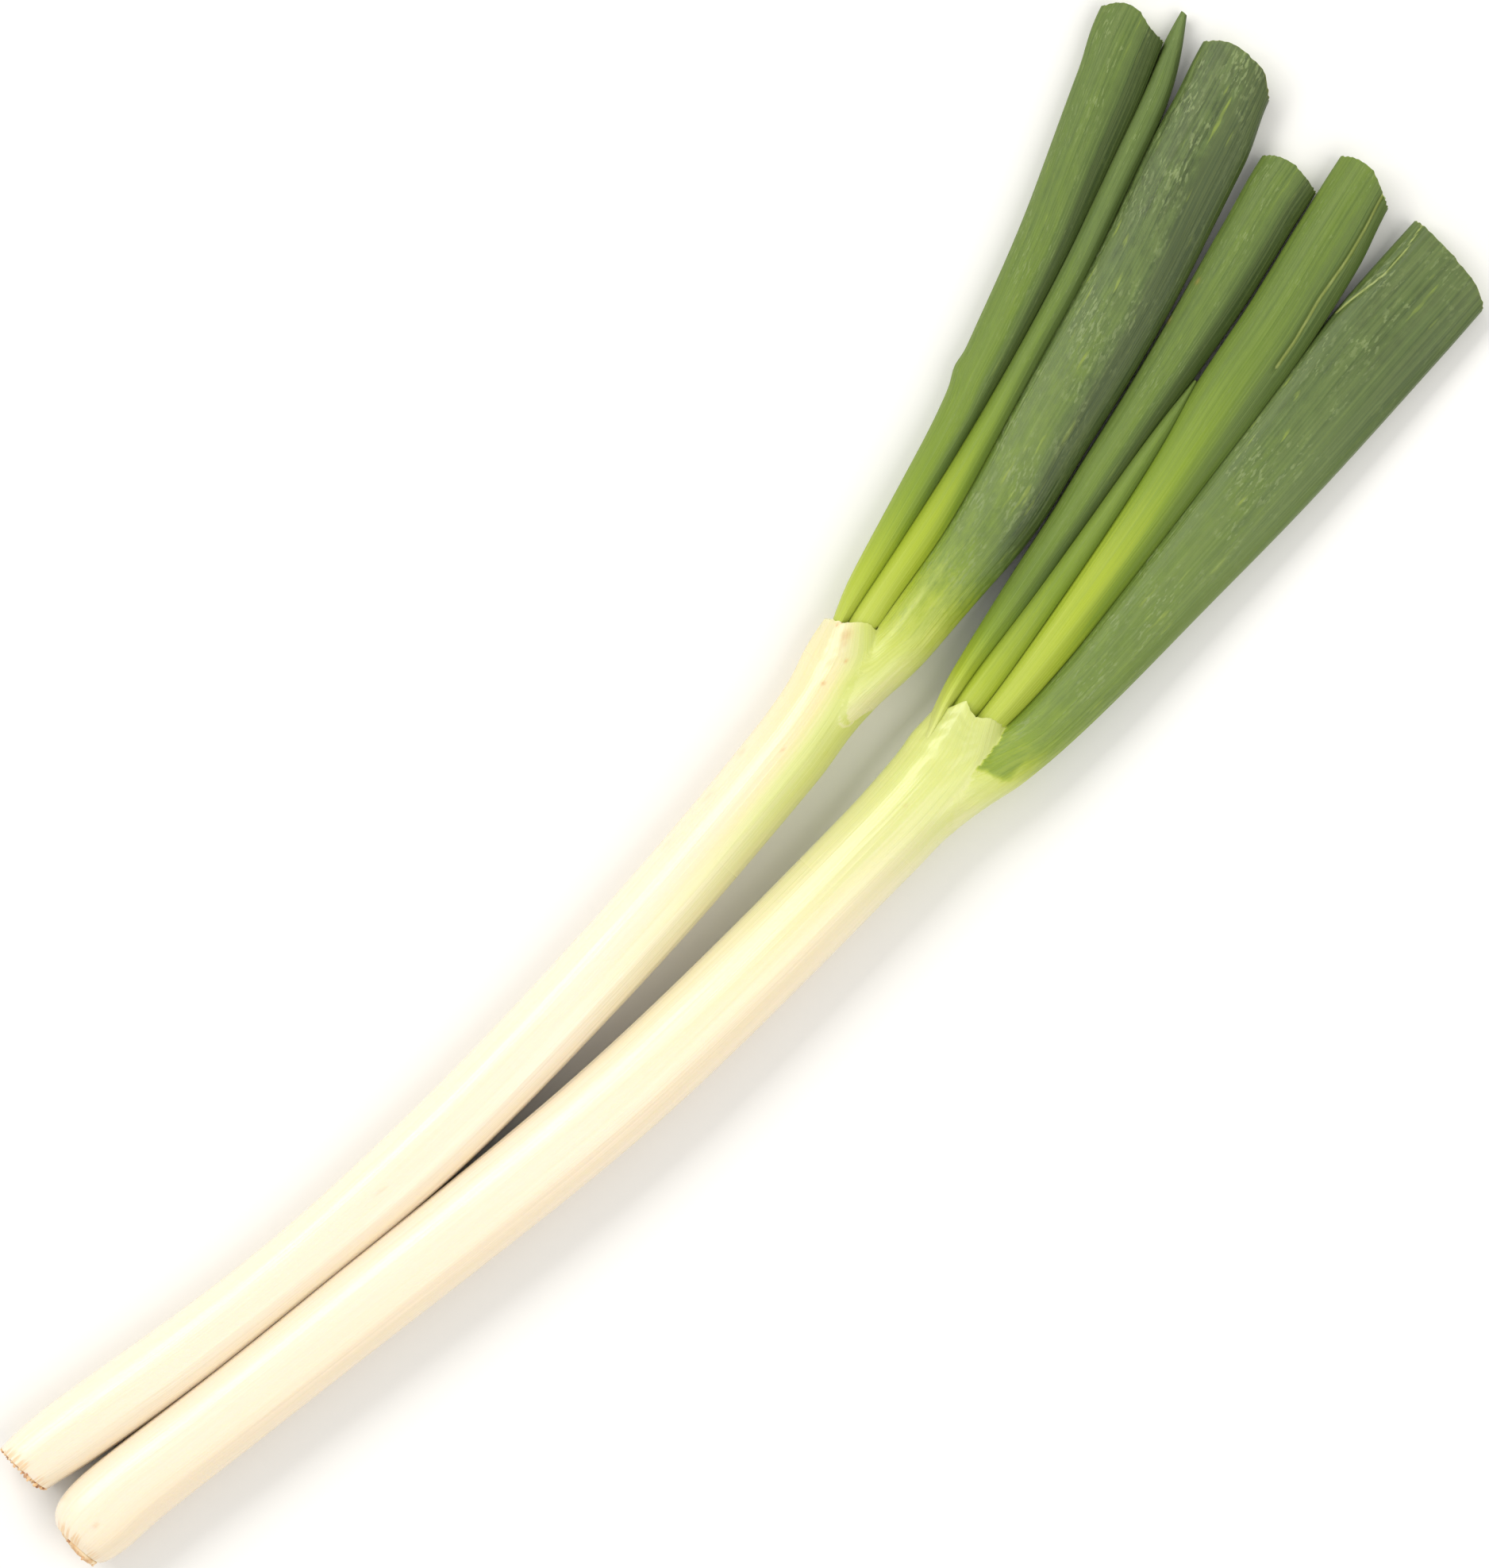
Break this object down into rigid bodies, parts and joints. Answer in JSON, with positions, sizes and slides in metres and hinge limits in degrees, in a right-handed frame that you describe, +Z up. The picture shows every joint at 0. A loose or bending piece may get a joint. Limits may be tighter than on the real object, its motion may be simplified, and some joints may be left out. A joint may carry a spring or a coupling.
{
  "type": "spring onion bunch",
  "caption": "Trimmed Welsh onions lying side by side: white leaf shafts on root plates, opening into hollow green leaves cut off at the tips",
  "frame": {"origin": "middle of the bunch's box on the surface it lies on", "axes": "+X from the roots to the leaf tips, +Y towards the left onion, +Z up"},
  "size_m": [0.4791, 0.1227, 0.0221],
  "materials": {
    "left_outer_leaf": "waxy green blade over a glossy cream sheath",
    "left_middle_leaf": "waxy green",
    "left_inner_leaf": "waxy lime green",
    "left_root_plate": "dry fibrous",
    "right_outer_leaf": "waxy green blade over a glossy cream sheath",
    "right_second_leaf": "waxy green",
    "right_third_leaf": "waxy lime green",
    "right_inner_leaf": "waxy lime green",
    "right_root_plate": "dry fibrous"
  },
  "bodies": {
    "root": {"left_outer_leaf": "left_outer_leaf", "left_middle_leaf": "left_middle_leaf", "left_inner_leaf": "left_inner_leaf", "left_root_plate": "left_root_plate", "right_outer_leaf": "right_outer_leaf", "right_second_leaf": "right_second_leaf", "right_third_leaf": "right_third_leaf", "right_inner_leaf": "right_inner_leaf", "right_root_plate": "right_root_plate"}
  },
  "joints": []
}
